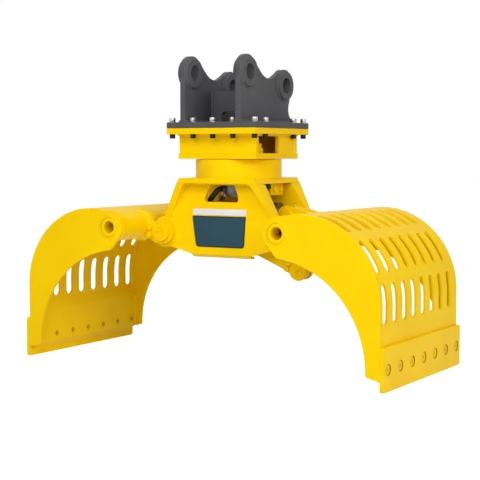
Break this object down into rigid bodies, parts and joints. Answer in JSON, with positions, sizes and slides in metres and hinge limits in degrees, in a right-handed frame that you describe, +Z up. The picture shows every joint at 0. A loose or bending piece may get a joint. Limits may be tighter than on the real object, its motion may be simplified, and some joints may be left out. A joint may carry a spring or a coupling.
{
  "type": "excavator grapple",
  "caption": "Hydraulic clamshell grapple: slotted jaws with bolted blades swing on a slewing housing under a pinned mounting bracket.",
  "frame": {"origin": "point on the ground under the slewing axis, with the jaws fully open and standing on their blades", "axes": "+X in the opening direction of the jaws, towards the jaw that carries the lower link pin; +Z up along the slewing axis; -Y the front with the plain panel that is seen in the picture"},
  "size_m": [1.028, 0.464, 0.775],
  "materials": {
    "yellow_paint": "semi-gloss safety yellow enamel over welded steel",
    "bracket_grey": "satin dark grey enamel",
    "zinc": "zinc plated",
    "black_steel": "black oxide",
    "bare_steel": "machined and oiled",
    "bronze": "machined bronze",
    "hose_rubber": "matt hydraulic hose cover",
    "chrome": "hard chromed and polished"
  },
  "bodies": {
    "bracket": {"lug_plate_right": "bracket_grey", "lug_plate_left": "bracket_grey", "lug_bosses": "bracket_grey", "lug_cross_plate": "bracket_grey", "base_plate": "bracket_grey", "flange_bolts": "zinc", "flange_nuts": "black_steel", "adapter_flange": "yellow_paint", "adapter_box": "yellow_paint", "adapter_floor": "yellow_paint", "slew_inner_ring": "bare_steel", "swivel_core": "bare_steel", "supply_fittings": "bare_steel"},
    "housing": {"neck_ring": "yellow_paint", "top_plate": "yellow_paint", "panel_front": "yellow_paint", "panel_rear": "yellow_paint", "edge_ribs_front": "yellow_paint", "edge_ribs_rear": "yellow_paint", "bottom_plate": "yellow_paint", "pivot_bosses": "yellow_paint", "pivot_bushes": "bronze", "hose_block": "yellow_paint", "swivel_sleeve": "bare_steel", "housing_hoses": "hose_rubber"},
    "cylinder_barrel_body": {"cylinder_barrel": "yellow_paint", "cylinder_gland": "bare_steel", "barrel_ports": "bare_steel"},
    "cylinder_rod_body": {"cylinder_rod": "chrome"},
    "link": {"sync_link": "yellow_paint", "link_pin_lower": "yellow_paint", "link_pin_upper": "yellow_paint", "link_keeper_bolts": "yellow_paint"},
    "right_jaw": {"jaw_shell_right": "yellow_paint", "side_plates_right": "yellow_paint", "jaw_tube_right": "yellow_paint", "arms_right": "yellow_paint", "cylinder_ears_right": "yellow_paint", "link_ear_right": "yellow_paint", "lip_right": "yellow_paint", "blade_right": "yellow_paint", "blade_bolts_right": "yellow_paint", "pivot_pins_right": "yellow_paint", "keeper_bolts_right": "yellow_paint", "rod_pin": "bare_steel"},
    "left_jaw": {"jaw_shell_left": "yellow_paint", "side_plates_left": "yellow_paint", "jaw_tube_left": "yellow_paint", "arms_left": "yellow_paint", "cylinder_ears_left": "yellow_paint", "link_ear_left": "yellow_paint", "lip_left": "yellow_paint", "blade_left": "yellow_paint", "blade_bolts_left": "yellow_paint", "pivot_pins_left": "yellow_paint", "keeper_bolts_left": "yellow_paint", "barrel_pin": "bare_steel"}
  },
  "joints": [
    {"name": "slew", "type": "hinge", "parent": "bracket", "child": "housing", "pos_m": [0, 0, 0.5], "axis": [0, 0, 1], "continuous": true},
    {"name": "left_jaw_pivot", "type": "hinge", "parent": "housing", "child": "left_jaw", "pos_m": [-0.165, 0, 0.332], "axis": [0, -1, 0], "range_deg": [0, 65.8]},
    {"name": "right_jaw_pivot", "type": "hinge", "parent": "housing", "child": "right_jaw", "pos_m": [0.165, 0, 0.332], "axis": [0, 1, 0], "range_deg": [0, 65.8]},
    {"name": "barrel_pivot", "type": "hinge", "parent": "left_jaw", "child": "cylinder_barrel_body", "pos_m": [-0.13504, 0.03, 0.37813], "axis": [0, 1, 0], "range_deg": [0, 65.8]},
    {"name": "rod_slide", "type": "slide", "parent": "cylinder_barrel_body", "child": "cylinder_rod_body", "axis": [1, 0, 0], "range_m": [0, 0.1197]},
    {"name": "link_pivot", "type": "hinge", "parent": "right_jaw", "child": "link", "pos_m": [0.196, 0, 0.243], "axis": [0, -1, 0], "range_deg": [0, 56.1]}
  ],
  "couplings": [
    {"joint": "right_jaw_pivot", "follows": "left_jaw_pivot", "ratio": 1},
    {"joint": "barrel_pivot", "follows": "left_jaw_pivot", "ratio": 1},
    {"joint": "rod_slide", "follows": "left_jaw_pivot", "m_per_rad": 0.10405},
    {"joint": "link_pivot", "follows": "left_jaw_pivot", "ratio": 0.8515}
  ]
}
